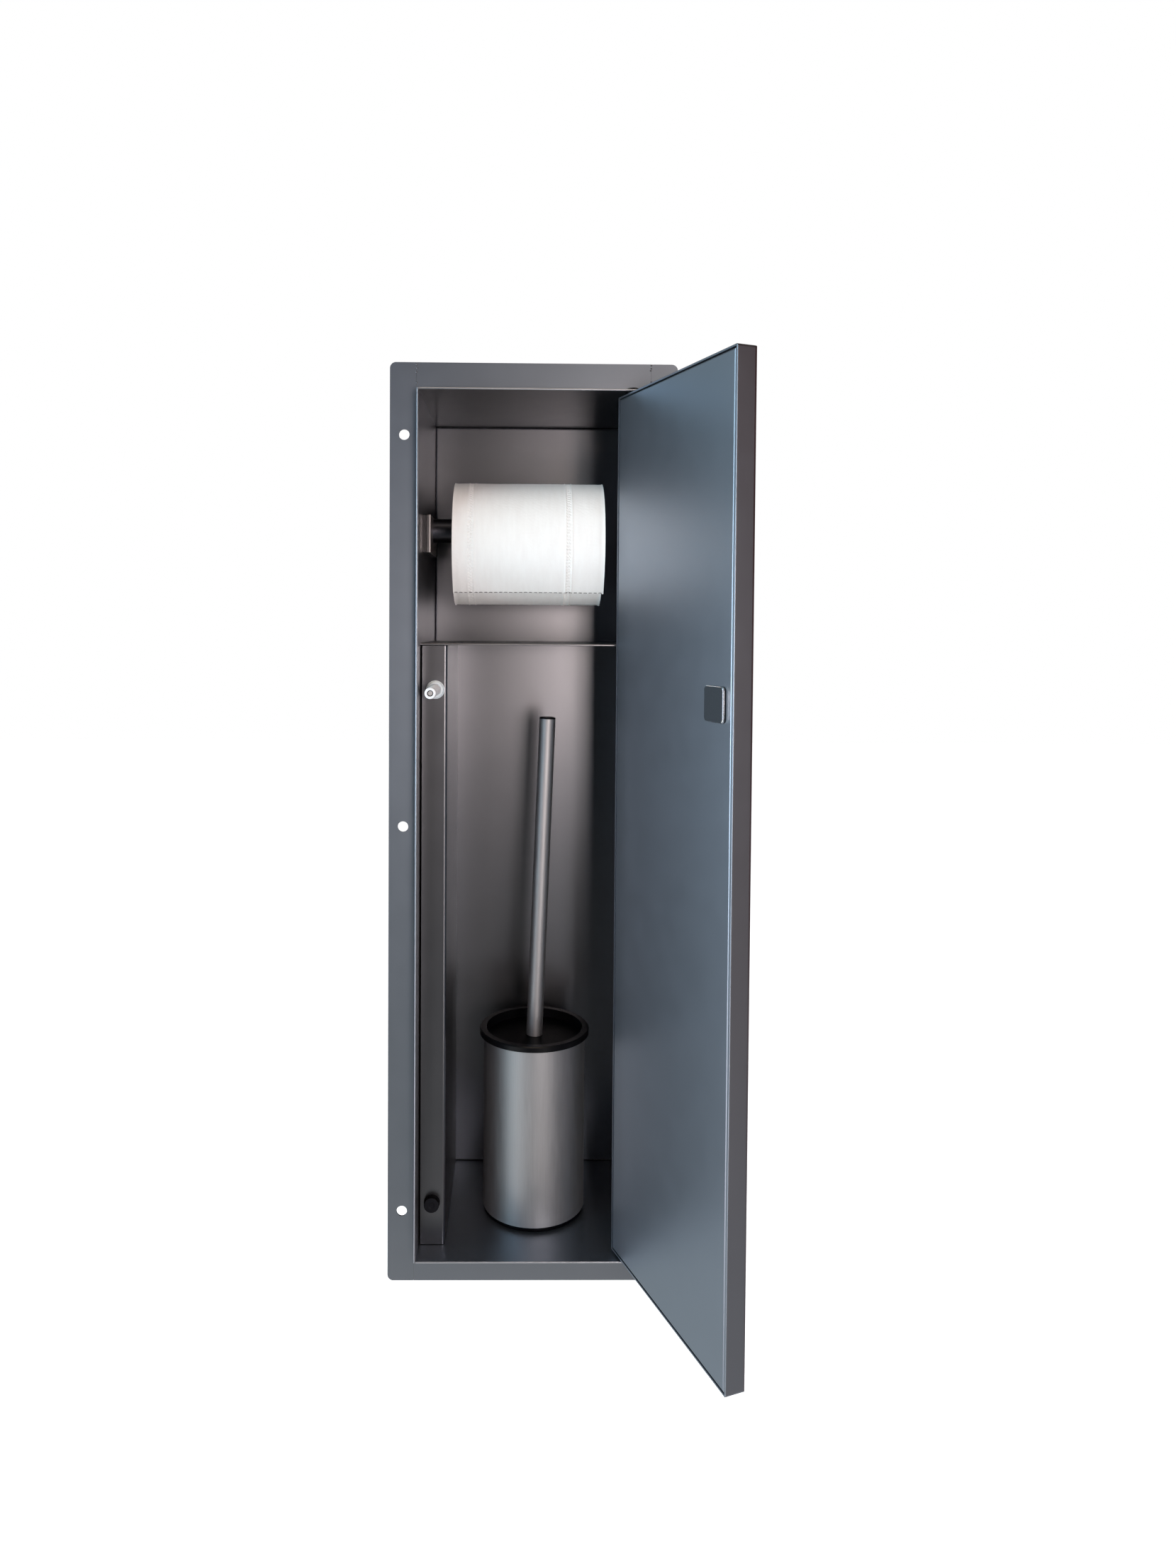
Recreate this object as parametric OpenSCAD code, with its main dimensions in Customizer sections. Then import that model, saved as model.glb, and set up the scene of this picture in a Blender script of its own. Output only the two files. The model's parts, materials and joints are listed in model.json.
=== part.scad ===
/* [Opening] */
// Clear width of the opening
opening_w = 150; // [146:1:240]
// Clear height of the opening
opening_h = 575; // [540:1:900]
// Depth from the front edge to the back panel's inner face
depth = 131; // [122:1:220]
// Thickness of the steel sheet
sheet = 1.2; // [0.8:0.1:1.5]

/* [Flange] */
// How far the front edge stands out of the flange, for the tiles
tile_depth = 12; // [8:0.5:20]
// Width of the flange round the opening
flange_w = 20; // [18:0.5:40]
// Radius of the flange's outer corners
flange_r = 4; // [1:0.5:8]
// Length of the flange frame's leg along the casing
leg_len = 10; // [6:0.5:20]
// Inside radius of the folds
fold_r = 0.6; // [0.3:0.1:1]
// Diameter of the screw holes
hole_d = 7; // [4:0.1:9]
// From the flange's outer edge to the hole centres
hole_inset = 9.5; // [6:0.1:11]
// From the flange's ends to the outer hole centres
hole_end = 47.5; // [20:0.5:90]

/* [Back panel] */
// Depth of the back panel's turned rim
back_rim = 5; // [3:0.5:12]
// Outer radius of the back panel's edges
back_r = 1.5; // [1.5:0.1:3]

/* [Shelf] */
// Clear height of the compartment over the shelf
top_room = 165.3; // [150:0.5:200]
// Gap between the door's swinging corner and the shelf's front edge
shelf_gap = 0.6; // [0.4:0.1:10]
// Height of the shelf's rear lip
shelf_lip = 10; // [5:0.5:20]
// From the closing strip to the shelf's rear lip
lip_notch = 5.2; // [2:0.1:20]

/* [Closing strip] */
// Width of the closing strip's front
strip_w = 16.8; // [15:0.1:24]
// Gap between the strip and the left wall
strip_slit = 1.2; // [0.6:0.1:3]
// From the closed door to the strip's front
strip_gap = 6.4; // [5.5:0.1:15]
// Gap at each end of the strip
strip_end = 0.4; // [0.2:0.1:0.9]

/* [Door] */
// Thickness of the door
door_t = 13; // [11:0.5:16]
// Gap beside the closed door
door_side_gap = 2; // [1.5:0.1:3]
// Gap over and under the closed door
door_end_gap = 2.2; // [1.8:0.1:3]
// Bend radius of the door's front edges
door_r = 2; // [1.8:0.1:3]
// Gap between the door's inner panel and its shell
panel_gap = 0.6; // [0.3:0.1:0.9]
// From the door's hinge edge to the pivot
pivot_inset = 8; // [7.5:0.1:8.5]
// From the door's front face to the pivot
pivot_depth = 6; // [5.5:0.1:6.5]
// How far the door stands open
door_open = 110.5; // [60:0.5:116]

/* [Pivots] */
// Diameter of the pivot pins
pin_d = 5; // [4:0.1:5.4]
// Length of pin held in the door
pin_hold = 20; // [10:0.5:40]
// Outer diameter of the pivot bushes
bush_d = 8; // [7.4:0.1:9]
// How far the bush reaches out of the casing
bush_out = 1.2; // [0.5:0.1:3]
// Thickness of the bush's head in the door gap
bush_head = 0.8; // [0.4:0.1:1]
// Running clearance of pins and plunger on the radius
run_gap = 0.05; // [0.02:0.01:0.1]

/* [Push latch] */
// From the shelf's top down to the latch
latch_drop = 31.1; // [20:0.1:60]
// From the strip's right edge to the latch
latch_inset = 7.9; // [7:0.1:8.5]
// Diameter of the plunger
plunger_d = 7.3; // [6:0.1:7.5]
// How far the plunger stands out of the strip
plunger_out = 38.4; // [30:0.1:40]
// Length of the plunger inside the strip at rest
plunger_tail = 30; // [20:0.5:38]
// Outer diameter of the latch housing
housing_d = 10.4; // [9.4:0.1:10.8]
// Length of the latch housing behind the strip
housing_len = 80; // [76:0.5:90]
// Height of the latch collar
collar_h = 2.6; // [1.5:0.1:3]
// Diameter of the collar where it meets the strip
collar_d = 12.4; // [11.5:0.1:13]
// Diameter of the magnet in the plunger's tip
magnet_d = 4; // [3:0.1:5]

/* [Strike plate] */
// Side of the square strike plate
strike_w = 20; // [16:0.1:26]
// Thickness of the strike plate
strike_t = 1.9; // [0.8:0.1:2.2]
// From the door's free edge to the strike plate
strike_inset = 7.8; // [5:0.1:9]
// How far the strike plate's middle lies over the latch
strike_rise = 1; // [0:0.1:3]
// Corner radius of the strike plate
strike_r = 2.5; // [1:0.1:5]

/* [Bumper] */
// Diameter of the bumper at its base
bumper_d = 10.9; // [8:0.1:12]
// Gap between the bumper and the closed door
bumper_gap = 2; // [1.5:0.1:4]
// From the floor up to the bumper
bumper_rise = 29.3; // [15:0.1:60]
// From the strip's right edge to the bumper
bumper_inset = 8.9; // [7:0.1:9]

/* [Roll holder] */
// From the casing's top down to the rod's axis
rod_drop = 86.6; // [70:0.1:100]
// Diameter of the roll rod
rod_d = 17; // [12:0.5:24]
// How far the rod's end lies inside the paper roll
rod_inside = 6.3; // [2:0.1:12]
// Depth of the mounting plates along the wall
plate_l = 52; // [40:0.5:70]
// Height of the mounting plates
plate_h = 26; // [22:0.5:40]
// Thickness of each mounting plate
plate_t = 2.4; // [1.5:0.1:4]
// How far the rod's axis lies over the plates' middle
plate_drop = 3.9; // [0:0.1:5]

/* [Paper roll] */
// Diameter of the paper roll
roll_d = 86; // [80:0.5:93]
// Width of the paper roll
roll_w = 102.4; // [90:0.1:105]
// From the mounting plate to the roll
roll_gap = 15.7; // [5:0.1:18]
// From the closed door to the roll
roll_front = 4.5; // [2:0.1:10]
// Inner diameter of the card core
core_d = 36.5; // [34:0.5:42]
// Wall of the card core
core_wall = 1; // [0.5:0.1:1.5]
// Thickness of the loose outer layer
tail_t = 0.4; // [0.2:0.1:0.8]

/* [Brush set] */
// Diameter of the holder's steel sleeve
sleeve_d = 73; // [60:0.5:80]
// Wall of the sleeve and of the handle tube
tube_wall = 0.8; // [0.5:0.1:1.5]
// Height of the holder over the floor
holder_h = 131.6; // [100:0.1:160]
// How far the rim stands out of the sleeve
rim_out = 2.95; // [1:0.05:4]
// Height of the rim
rim_h = 4; // [2.5:0.1:8]
// Height of the holder's base
base_h = 3.2; // [2:0.1:8]
// Wall of the plastic pot
pot_wall = 1.5; // [1:0.1:3]
// From the closed door to the holder's rim
brush_front = 17; // [5:0.5:20]
// Distance of the holder to the right of the middle
brush_x = 3.6; // [-5:0.1:12]
// Diameter of the brush handle
handle_d = 11.6; // [9:0.1:16]
// Length of the brush handle over the lid
handle_len = 231; // [180:1:235]
// How far the handle leans to the right
handle_lean = 2; // [0:0.1:2.4]
// Height of the dark cap on the handle
cap_h = 1.1; // [1:0.1:10]
// Thickness of the lid
lid_t = 2; // [1.2:0.1:3]
// Depth of the lid's top under the holder's rim
lid_sink = 6.5; // [1.6:0.1:7]
// Diameter of the bristle head
head_d = 52; // [40:0.5:54]
// Height of the bristle head
head_h = 72; // [40:1:78]
// From the pot's floor up to the bristle head
head_clear = 10.6; // [4:0.1:14]

/* [Hidden] */
$fn = 48;

// Colours of the painted sheet, the bare steel and the plastics
paint = [0.34, 0.37, 0.41];
inner_paint = [0.36, 0.35, 0.35];
steel = [0.55, 0.54, 0.53];
black = [0.06, 0.06, 0.07];
white = [0.93, 0.93, 0.92];

// The origin is the middle of the screw holes on the wall plane, +X to the right, +Y into the wall
half_w = opening_w / 2;
half_h = opening_h / 2;
front_y = -(tile_depth + sheet);
back_y = front_y + depth;
rear_y = back_y + back_rim;
edge_r = 0.42 * sheet;
lip_r = 0.38 * sheet;
ease = 0.05;
seat_gap = 0.3;
fold_out = fold_r + sheet;
seam_x = half_w + 2 * sheet;
flange_x = half_w + flange_w;
flange_z = half_h + flange_w;
hole_x = flange_x - hole_inset;
hole_z = flange_z - hole_end;

door_back = front_y + door_t;
shelf_z = half_h - top_room;
strip_x0 = -half_w + strip_slit;
strip_x1 = strip_x0 + strip_w;
strip_y = door_back + strip_gap;
strip_z0 = -half_h + strip_end;
strip_z1 = shelf_z - sheet - strip_end;
lip_x0 = strip_x1 + lip_notch;
lip_x1 = half_w - 1;

door_x = half_w - door_side_gap;
door_z = half_h - door_end_gap;
pivot_x = door_x - pivot_inset;
pivot_y = front_y + pivot_depth;
swing_r = norm([pivot_inset, door_back - pivot_y]);
shelf_y = pivot_y + swing_r + shelf_gap;
pin_r = pin_d / 2;
door_corner = 1.5;
panel_in = sheet + panel_gap;
rim_in = panel_in + sheet;
block_clear = 0.2;
block_x1 = door_x - rim_in - block_clear;
block_x0 = 2 * pivot_x - block_x1 - 2;
bush_head_r = bush_d / 2 + 1.2;

latch_x = strip_x1 - latch_inset;
latch_z = shelf_z - latch_drop;
plunger_r = plunger_d / 2;
bore_r = plunger_r + run_gap;
tip_y = strip_y - plunger_out;
tail_y = strip_y + plunger_tail;
housing_end = 2;
magnet_t = 1.5;
magnet_sink = 0.4;
strike_x = -door_x + strike_inset + strike_w / 2;
bumper_x = strip_x1 - bumper_inset;
bumper_z = -half_h + bumper_rise;
bumper_y = door_back + bumper_gap;

rod_z = half_h - rod_drop;
rod_r = rod_d / 2;
rod_y = door_back + roll_front + roll_d / 2;
plate_z = rod_z - plate_drop;
plate_split = 0.2;
arm_x = -half_w + 2 * plate_t + plate_split;
rod_x1 = arm_x + roll_gap + roll_w - rod_inside;
rod_cap = 3;
screw_pitch = plate_l * 0.62;
screw_r = 2;
screw_head_r = 4;
screw_head = 2.4;
core_r = core_d / 2;
roll_r = roll_d / 2;
roll_x0 = arm_x + roll_gap;
roll_z = rod_z + rod_r + seat_gap - core_r;
tail_drop = 51.5;

floor_z = -half_h;
rim_r = sleeve_d / 2 + rim_out;
brush_y = door_back + brush_front + rim_r;
rim_z = floor_z + holder_h;
sleeve_r = sleeve_d / 2;
pot_r = sleeve_r - tube_wall - seat_gap;
pot_in = pot_r - pot_wall;
ledge_z = rim_z - lid_sink - lid_t;
lid_z = ledge_z + seat_gap / 2;
lid_seat_r = pot_in + pot_wall * 0.47;
handle_r = handle_d / 2;
stem_r = handle_r - tube_wall - seat_gap;
stem_up = 12;
head_foot = -(lid_z + lid_t - floor_z - base_h - pot_wall - head_clear) / cos(handle_lean);
head_top = head_foot + head_h;

// A sheet's section between two depths, with its front edge eased
module eased(x0, x1, y0, y1, r) {
    translate([x0 + r, y0]) square([x1 - x0 - 2 * r, y1 - y0]);
    translate([x0, y0 + r]) square([x1 - x0, y1 - y0 - r]);
    for (x = [x0 + r, x1 - r]) translate([x, y0 + r]) circle(r);
}

// A rectangle with round corners
module round_rect(w, h, r) {
    square([w - 2 * r, h], center = true);
    square([w, h - 2 * r], center = true);
    for (sx = [-1, 1], sz = [-1, 1]) translate([sx * (w / 2 - r), sz * (h / 2 - r)]) circle(r);
}

// A quarter of a fold's section, in the quadrant left of and below the origin
module fold_section() {
    intersection() {
        difference() {
            circle(fold_out);
            circle(fold_r);
        }
        translate([-fold_out, -fold_out]) square(fold_out);
    }
}

// Extrusions along each axis: along X the section's own x points down, along Y it stays upright
module along_x(x0, x1) {
    translate([x0, 0, 0]) rotate([0, 90, 0]) linear_extrude(x1 - x0) children();
}

module along_y(y0, y1) {
    translate([0, y1, 0]) rotate([90, 0, 0]) linear_extrude(y1 - y0) children();
}

module along_z(z0, z1) {
    translate([0, 0, z0]) linear_extrude(z1 - z0) children();
}

module bar_x(r, x0, x1) {
    along_x(x0, x1) circle(r);
}

module bar_y(r, y0, y1) {
    along_y(y0, y1) circle(r);
}

module bar_z(r, z0, z1) {
    along_z(z0, z1) circle(r);
}

// A block whose front edges are bent round and whose outline has small corner radii
module pan_block(hw, hh, y0, y1, r, corner) {
    intersection() {
        along_z(-hh, hh) eased(-hw, hw, y0, y1, r);
        along_x(-hw, hw) eased(-hh, hh, y0, y1, r);
        along_y(y0, y1) round_rect(2 * hw, 2 * hh, corner);
    }
}

// A shallow tray of folded sheet, open at its rear
module pan(hw, hh, y0, y1, r, corner) {
    in_r = max(r - sheet, 0.2);
    difference() {
        pan_block(hw, hh, y0, y1, r, corner);
        pan_block(hw - sheet, hh - sheet, y0 + sheet, y1 + 1, in_r, max(corner - sheet, 0.2));
    }
}

module pivot_hole(r) {
    translate([pivot_x, pivot_y, 0]) bar_z(r, half_h - 50, half_h + 50);
}

module screw_places() {
    for (side = [-1, 1]) translate([0, rod_y + side * screw_pitch / 2, plate_z]) children();
}

// Casing walls
module side_wall() {
    round_end = sheet * 0.8;
    intersection() {
        along_z(-half_h - sheet, half_h + sheet) eased(half_w, half_w + sheet, front_y, rear_y, edge_r);
        along_y(front_y, rear_y) round_rect(2 * (half_w + sheet), 2 * (half_h + sheet), round_end);
    }
}

module end_wall() {
    difference() {
        mirror([0, 0, 1]) along_x(-half_w, half_w) eased(half_h, half_h + sheet, front_y, rear_y, edge_r);
        pivot_hole(bush_d / 2 + ease);
    }
}

module left_wall() {
    color(inner_paint) difference() {
        mirror([1, 0, 0]) side_wall();
        screw_places() bar_x(screw_r + 0.2, -half_w - sheet - 1, -half_w + 1);
    }
}

module right_wall() {
    color(inner_paint) side_wall();
}

module top_wall() {
    color(inner_paint) end_wall();
}

module bottom_wall() {
    color(inner_paint) mirror([0, 0, 1]) end_wall();
}

module back_panel() {
    color(inner_paint) pan(half_w, half_h, back_y, rear_y, back_r, 0.4);
}

// Flange frame: angles welded round the casing, their plates on the wall
module angle_section() {
    translate([0, fold_r]) square([sheet, leg_len - fold_r]);
    translate([fold_out, fold_r]) fold_section();
}

module side_flange() {
    inner = half_w + sheet;
    plate_x = inner + fold_out;
    difference() {
        union() {
            along_z(-half_h - sheet, half_h + sheet) translate([inner, 0]) angle_section();
            along_y(-sheet, 0) difference() {
                round_rect(2 * flange_x, 2 * flange_z, flange_r);
                square([2 * (seam_x + ease), 2 * flange_z + 1], center = true);
                square([2 * plate_x, 2 * (half_h + sheet)], center = true);
                translate([-flange_x - 1, -flange_z - 1]) square([flange_x + 1, 2 * flange_z + 2]);
            }
        }
        for (z = [-hole_z, 0, hole_z]) translate([hole_x, 0, z]) bar_y(hole_d / 2, -sheet - 1, 1);
    }
}

module end_flange() {
    inner = half_h + sheet;
    mirror([0, 0, 1]) {
        along_x(-half_w - sheet, half_w + sheet) translate([inner, 0]) angle_section();
        along_y(-sheet, 0) difference() {
            translate([-seam_x + ease, -flange_z]) square([2 * (seam_x - ease), flange_z - inner - ease]);
            translate([-half_w - sheet, -inner - fold_out]) square([2 * (half_w + sheet), fold_out]);
        }
    }
}

module left_flange() {
    color(paint) mirror([1, 0, 0]) side_flange();
}

module right_flange() {
    color(paint) side_flange();
}

module top_flange() {
    color(paint) end_flange();
}

module bottom_flange() {
    color(paint) mirror([0, 0, 1]) end_flange();
}

// Shelf with its rear lip folded down
module shelf() {
    fold_y = back_y - fold_out;
    color(inner_paint) translate([0, 0, shelf_z]) {
        along_x(-half_w, half_w) eased(0, sheet, shelf_y, fold_y, edge_r);
        for (ends = [[-half_w, lip_x0], [lip_x1, half_w]])
            along_x(ends[0], ends[1]) translate([0, fold_y]) square([sheet, fold_out]);
        along_x(lip_x0, lip_x1) {
            translate([fold_out, fold_y]) mirror([0, 1]) fold_section();
            translate([fold_out, back_y - sheet]) square([shelf_lip - fold_out, sheet]);
        }
    }
}

// Closing strip: its front carries the latch and the bumper, its side runs to the back panel
module latch_cover_strip() {
    color(inner_paint) difference() {
        along_z(strip_z0, strip_z1) {
            translate([strip_x0, strip_y]) square([strip_w - fold_out, sheet]);
            translate([strip_x1 - fold_out, strip_y + fold_out]) mirror([1, 0]) fold_section();
            translate([strip_x1 - sheet, strip_y + fold_out]) square([sheet, depth + front_y - strip_y - fold_out]);
        }
        translate([latch_x, 0, latch_z]) bar_y(housing_d / 2 + ease, strip_y - 1, strip_y + sheet + 1);
        translate([bumper_x, 0, bumper_z]) bar_y(bumper_d / 4 + ease, strip_y - 1, strip_y + sheet + 1);
    }
}

// Push latch
module latch_housing() {
    color(black) translate([latch_x, 0, latch_z]) difference() {
        bar_y(housing_d / 2, strip_y, strip_y + housing_len);
        bar_y(bore_r, strip_y - 1, strip_y + housing_len - housing_end);
    }
}

module latch_collar() {
    front_r = collar_d / 2 - 0.85;
    color(white) translate([latch_x, strip_y, latch_z]) difference() {
        rotate([90, 0, 0]) cylinder(r1 = collar_d / 2, r2 = front_r, h = collar_h);
        bar_y(bore_r, -collar_h - 1, 1);
    }
}

module latch_plunger() {
    chamfer = 0.5;
    color(white) translate([latch_x, 0, latch_z]) difference() {
        union() {
            bar_y(plunger_r, tip_y + chamfer, tail_y);
            translate([0, tip_y + chamfer, 0]) rotate([90, 0, 0])
                cylinder(r1 = plunger_r, r2 = plunger_r - chamfer, h = chamfer);
        }
        bar_y(magnet_d / 2 + ease, tip_y - 1, tip_y + magnet_sink + magnet_t);
    }
}

module latch_magnet() {
    color("dimgray") translate([latch_x, tip_y + magnet_sink, latch_z]) bar_y(magnet_d / 2, 0, magnet_t);
}

module door_bumper() {
    front_r = bumper_d / 2 - 0.65;
    bumper_h = strip_y - bumper_y;
    color(black) translate([bumper_x, strip_y, bumper_z]) {
        rotate([90, 0, 0]) cylinder(r1 = bumper_d / 2, r2 = front_r, h = bumper_h);
        bar_y(bumper_d / 4, 0, sheet + 2);
    }
}

// Roll holder on the left wall
module mounting_plate(x0, x1, hole_r) {
    difference() {
        translate([0, rod_y, plate_z]) along_x(x0, x1) round_rect(plate_h, plate_l, 0.6);
        screw_places() bar_x(hole_r, x0 - 1, x1 + 1);
    }
}

module roll_wall_plate() {
    color(steel) mounting_plate(-half_w, -half_w + plate_t, screw_r + 0.2);
}

module roll_arm_plate() {
    color(steel) {
        mounting_plate(arm_x - plate_t, arm_x, screw_r + ease);
        translate([0, rod_y, plate_z]) bar_x(plate_h * 0.3, arm_x - plate_t - plate_split, arm_x - plate_t);
    }
}

module roll_holder_screws() {
    head_x = -half_w - sheet;
    color("gray") screw_places() {
        bar_x(screw_r, head_x, arm_x - ease);
        difference() {
            bar_x(screw_head_r, head_x - screw_head, head_x);
            along_x(head_x - screw_head - 1, head_x - screw_head / 2) square([1, 3 * screw_r], center = true);
            along_x(head_x - screw_head - 1, head_x - screw_head / 2) square([3 * screw_r, 1], center = true);
        }
    }
}

module roll_rod() {
    bore = rod_r - 1.5;
    color(inner_paint) translate([0, rod_y, rod_z]) difference() {
        bar_x(rod_r, arm_x, rod_x1 - rod_cap);
        bar_x(bore, arm_x + 6, rod_x1);
    }
}

module roll_rod_cap() {
    chamfer = 1;
    color(inner_paint) translate([0, rod_y, rod_z]) {
        bar_x(rod_r, rod_x1 - rod_cap, rod_x1 - chamfer);
        bar_x(rod_r - 1.5 - ease, rod_x1 - rod_cap - 6, rod_x1 - rod_cap);
        translate([rod_x1 - chamfer, 0, 0]) rotate([0, 90, 0])
            cylinder(r1 = rod_r, r2 = rod_r - chamfer, h = chamfer);
    }
}

// A disc whose left half, beyond the loose end, is a layer thinner
module wound_disc(r, layer) {
    intersection() {
        circle(r);
        translate([0, -r]) square([r, 2 * r]);
    }
    intersection() {
        translate([0, layer / 2]) circle(r - layer / 2);
        translate([-r, -r]) square([r, 2 * r]);
    }
}

// Paper roll hanging on the rod, its loose end low at the front
module paper_roll() {
    color(white) translate([0, rod_y, roll_z]) difference() {
        rotate([tail_drop, 0, 0]) along_x(roll_x0, roll_x0 + roll_w) mirror([1, 0]) wound_disc(roll_r, tail_t);
        bar_x(core_r + core_wall + ease, roll_x0 - 1, roll_x0 + roll_w + 1);
    }
}

module roll_core() {
    color([0.62, 0.55, 0.45]) translate([0, rod_y, roll_z]) difference() {
        bar_x(core_r + core_wall, roll_x0, roll_x0 + roll_w);
        bar_x(core_r, roll_x0 - 1, roll_x0 + roll_w + 1);
    }
}

// Brush set standing on the floor
module at_brush() {
    translate([brush_x, brush_y, 0]) children();
}

module brush_sleeve() {
    color(steel) at_brush() difference() {
        bar_z(sleeve_r, floor_z + base_h, rim_z - rim_h);
        bar_z(sleeve_r - tube_wall, floor_z, rim_z);
    }
}

module brush_pot() {
    bevel = 0.8;
    color(black) at_brush() difference() {
        union() {
            bar_z(pot_r, floor_z + base_h, rim_z - rim_h);
            bar_z(rim_r, rim_z - rim_h, rim_z - bevel);
            translate([0, 0, rim_z - bevel]) cylinder(r1 = rim_r, r2 = rim_r - bevel, h = bevel);
        }
        bar_z(pot_in, floor_z + base_h + pot_wall, rim_z + 1);
        bar_z(lid_seat_r, ledge_z, rim_z + 1);
    }
}

module brush_base() {
    bevel = 0.8;
    color(black) at_brush() {
        bar_z(sleeve_r - 0.6, floor_z + bevel, floor_z + base_h);
        translate([0, 0, floor_z]) cylinder(r1 = sleeve_r - 0.6 - bevel, r2 = sleeve_r - 0.6, h = bevel);
    }
}

// The handle, its stem and the bristles share one leaning axis through the lid
module leaning() {
    at_brush() translate([0, 0, lid_z + lid_t]) rotate([0, handle_lean, 0]) children();
}

module brush_lid() {
    bevel = 0.5;
    lid_r = lid_seat_r - seat_gap;
    color(black) difference() {
        at_brush() {
            bar_z(lid_r, lid_z, lid_z + lid_t - bevel);
            translate([0, 0, lid_z + lid_t - bevel]) cylinder(r1 = lid_r, r2 = lid_r - bevel, h = bevel);
        }
        leaning() bar_z(stem_r + 0.1, -2 * lid_t - 1, lid_t + 1);
    }
}

module brush_handle() {
    color(steel) leaning() difference() {
        bar_z(handle_r, 0.25, handle_len - cap_h);
        bar_z(handle_r - tube_wall, 0, handle_len);
    }
}

module brush_handle_cap() {
    chamfer = 0.6;
    color(black) leaning() {
        bar_z(handle_r - tube_wall - ease, handle_len - cap_h - 6, handle_len - cap_h);
        bar_z(handle_r, handle_len - cap_h, handle_len - chamfer);
        translate([0, 0, handle_len - chamfer]) cylinder(r1 = handle_r, r2 = handle_r - chamfer, h = chamfer);
    }
}

module brush_stem() {
    color(black) leaning() bar_z(stem_r, head_top, stem_up);
}

module brush_head() {
    r = head_d / 2;
    color("whitesmoke") leaning() translate([0, 0, head_foot]) rotate_extrude()
        polygon([
            [0, 0], [r * 0.66, 0], [r * 0.92, head_h * 0.14], [r, head_h * 0.42],
            [r * 0.94, head_h * 0.76], [r * 0.6, head_h], [0, head_h]
        ]);
}

// Door, drawn closed and turned open about its pivots
module open_door() {
    translate([pivot_x, pivot_y, 0]) rotate([0, 0, door_open]) translate([-pivot_x, -pivot_y, 0]) children();
}

module both_pivot_holes(r) {
    pivot_hole(r);
    mirror([0, 0, 1]) pivot_hole(r);
}

module door_shell() {
    color(paint) open_door() difference() {
        intersection() {
            pan(door_x, door_z, front_y, door_back, door_r, door_corner);
            mirror([0, 1, 0]) pan_block(door_x, door_z, -door_back, -front_y + 1, lip_r, door_corner);
        }
        both_pivot_holes(pin_r + 0.2);
    }
}

module door_inner_panel() {
    color(paint) open_door() difference() {
        mirror([0, 1, 0])
            pan(door_x - panel_in, door_z - panel_in, -door_back, -front_y - sheet, 1.2, 1);
        both_pivot_holes(pin_r + 0.2);
    }
}

module strike_plate() {
    color([0.2, 0.23, 0.27]) open_door() translate([strike_x, 0, latch_z + strike_rise])
        along_y(door_back, door_back + strike_t) round_rect(strike_w, strike_w, strike_r);
}

module pivot_pin() {
    color(steel) open_door() translate([pivot_x, pivot_y, 0])
        bar_z(pin_r, door_z - pin_hold, half_h + sheet + bush_out - 0.2);
}

module pivot_block() {
    top = door_z - rim_in - block_clear;
    color("gray") open_door() difference() {
        translate([block_x0, front_y + sheet, door_z - pin_hold - 2])
            cube([block_x1 - block_x0, door_t - 2 * sheet - block_clear, top - door_z + pin_hold + 2]);
        translate([pivot_x, pivot_y, 0]) bar_z(pin_r + 0.02, door_z - pin_hold, half_h);
    }
}

module pivot_bush() {
    color(black) translate([pivot_x, pivot_y, 0]) difference() {
        union() {
            bar_z(bush_d / 2, half_h, half_h + sheet + bush_out);
            bar_z(bush_head_r, half_h - bush_head, half_h);
        }
        bar_z(pin_r + run_gap, half_h - bush_head - 1, half_h + sheet + bush_out + 1);
    }
}

module upper_pivot_bush() {
    pivot_bush();
}

module lower_pivot_bush() {
    mirror([0, 0, 1]) pivot_bush();
}

module upper_pivot_pin() {
    pivot_pin();
}

module lower_pivot_pin() {
    mirror([0, 0, 1]) pivot_pin();
}

module upper_pivot_block() {
    pivot_block();
}

module lower_pivot_block() {
    mirror([0, 0, 1]) pivot_block();
}

left_wall();
right_wall();
top_wall();
bottom_wall();
back_panel();
left_flange();
right_flange();
top_flange();
bottom_flange();
shelf();
latch_cover_strip();
latch_housing();
latch_collar();
door_bumper();
roll_wall_plate();
roll_arm_plate();
roll_holder_screws();
roll_rod();
roll_rod_cap();
upper_pivot_bush();
lower_pivot_bush();
brush_sleeve();
brush_pot();
brush_base();
door_shell();
door_inner_panel();
strike_plate();
upper_pivot_pin();
lower_pivot_pin();
upper_pivot_block();
lower_pivot_block();
latch_plunger();
latch_magnet();
paper_roll();
roll_core();
brush_handle();
brush_handle_cap();
brush_lid();
brush_stem();
brush_head();
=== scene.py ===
"""Looks of the recessed bathroom niche: materials, soft paper, small fittings, lights and camera."""
import json
import math
import random

import bmesh
import bpy
import numpy as np
from mathutils import Matrix, Vector


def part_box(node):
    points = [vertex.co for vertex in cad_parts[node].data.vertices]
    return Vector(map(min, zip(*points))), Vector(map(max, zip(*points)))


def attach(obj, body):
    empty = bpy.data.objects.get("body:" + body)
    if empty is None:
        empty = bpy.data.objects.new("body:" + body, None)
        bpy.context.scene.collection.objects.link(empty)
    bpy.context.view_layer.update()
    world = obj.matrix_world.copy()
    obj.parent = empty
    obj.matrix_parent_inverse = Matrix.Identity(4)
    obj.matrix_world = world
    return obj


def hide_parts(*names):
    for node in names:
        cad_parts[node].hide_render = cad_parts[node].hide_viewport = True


MM = 0.001

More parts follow.
